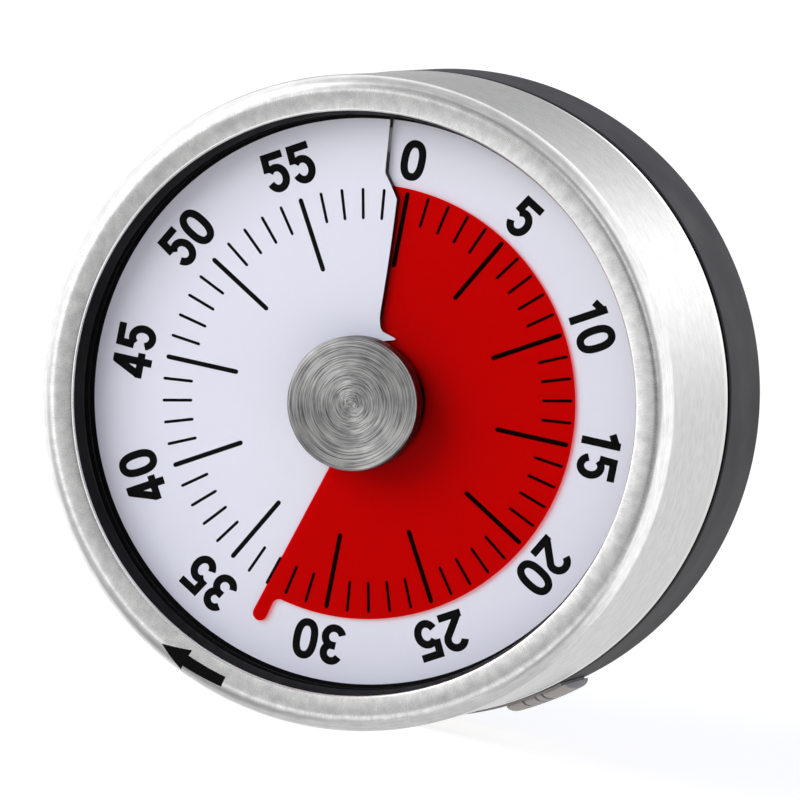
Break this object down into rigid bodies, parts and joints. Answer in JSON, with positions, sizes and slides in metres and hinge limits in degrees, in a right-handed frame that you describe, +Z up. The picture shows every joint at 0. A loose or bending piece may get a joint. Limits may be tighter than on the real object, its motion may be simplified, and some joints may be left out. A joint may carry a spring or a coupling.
{
  "type": "visual countdown timer",
  "caption": "Ring-wound visual countdown timer: steel ring, slit dial with a red film disc, lens, knob cap, magnetic base and mechanical movement.",
  "frame": {"origin": "centre of the bounding box's bottom: on the surface below the foot, midway between lip and back", "axes": "X right and Z up as the dial is read, with its zero straight up; Y away from the reader, out of the back cover"},
  "size_m": [0.08, 0.045, 0.0803],
  "materials": {
    "dark_moulding": "fine moulded matt, dark grey",
    "black_moulding": "moulded satin, black",
    "white_moulding": "moulded, off-white",
    "red_moulding": "moulded gloss, red",
    "red_film": "see-through coloured film",
    "dial_sheet": "printed satin sheet, cool white",
    "pale_rubber": "ribbed, pale grey",
    "clear_lens": "polished clear acrylic",
    "brushed_shell": "brushed round the axis",
    "spun_cap": "turned, with concentric marks",
    "bell_steel": "plated",
    "arbor_steel": "turned",
    "plated_screw": "zinc plated",
    "magnet_plating": "nickel plated",
    "blued_spring": "tempered strip",
    "movement_brass": "stamped"
  },
  "bodies": {
    "base": {"base_cup": "dark_moulding", "back_cover": "dark_moulding", "magnets": "magnet_plating", "cover_screws": "plated_screw", "foot_pad": "pale_rubber", "bell": "bell_steel", "bell_screw": "plated_screw", "rear_plate": "movement_brass", "front_plate": "movement_brass", "pillars": "movement_brass", "pillar_nuts": "movement_brass", "movement_screws": "plated_screw", "mainspring": "blued_spring", "spring_stud": "arbor_steel", "dial_carrier": "white_moulding", "dial": "dial_sheet"},
    "ring": {"steel_shell": "brushed_shell", "ring_liner": "black_moulding", "lens": "clear_lens", "lens_clamp": "black_moulding", "knob_cap": "spun_cap", "knob_hub": "red_moulding", "disc_hub": "red_moulding", "time_disc": "red_film", "main_arbor": "arbor_steel", "great_wheel": "movement_brass", "alarm_cam": "arbor_steel"},
    "second": {"second_wheel": "movement_brass", "second_arbor": "arbor_steel"},
    "third": {"third_wheel": "movement_brass", "third_arbor": "arbor_steel"},
    "escape": {"escape_wheel": "movement_brass", "escape_arbor": "arbor_steel"},
    "pallet": {"pallet_lever": "arbor_steel", "pallet_arbor": "arbor_steel"},
    "hammer": {"hammer": "arbor_steel", "hammer_arbor": "arbor_steel"}
  },
  "joints": [
    {"name": "ring_turn", "type": "hinge", "parent": "base", "child": "ring", "pos_m": [0, 0, 0.0403], "axis": [0, 1, 0], "range_deg": [-198, 156], "deforming": ["time_disc", "mainspring"]},
    {"name": "second_spin", "type": "hinge", "parent": "base", "child": "second", "pos_m": [-0.00243, 0, 0.05409], "axis": [0, 1, 0], "range_deg": [-936, 1188]},
    {"name": "third_spin", "type": "hinge", "parent": "base", "child": "third", "pos_m": [0.00923, 0, 0.05691], "axis": [0, 1, 0], "range_deg": [-5940, 4680]},
    {"name": "escape_spin", "type": "hinge", "parent": "base", "child": "escape", "pos_m": [0.01899, 0, 0.05141], "axis": [0, 1, 0], "range_deg": [-28080, 35640]},
    {"name": "pallet_rock", "type": "hinge", "parent": "base", "child": "pallet", "pos_m": [0.0232, 0, 0.04402], "axis": [0, 1, 0], "range_deg": [-4, 4]},
    {"name": "hammer_swing", "type": "hinge", "parent": "base", "child": "hammer", "pos_m": [-0.02363, 0, 0.03613], "axis": [0, 1, 0], "range_deg": [-2, 6], "stiffness_Nm_per_rad": 0.002}
  ],
  "couplings": [
    {"joint": "second_spin", "follows": "ring_turn", "ratio": -6},
    {"joint": "third_spin", "follows": "ring_turn", "ratio": 30},
    {"joint": "escape_spin", "follows": "ring_turn", "ratio": -180}
  ]
}
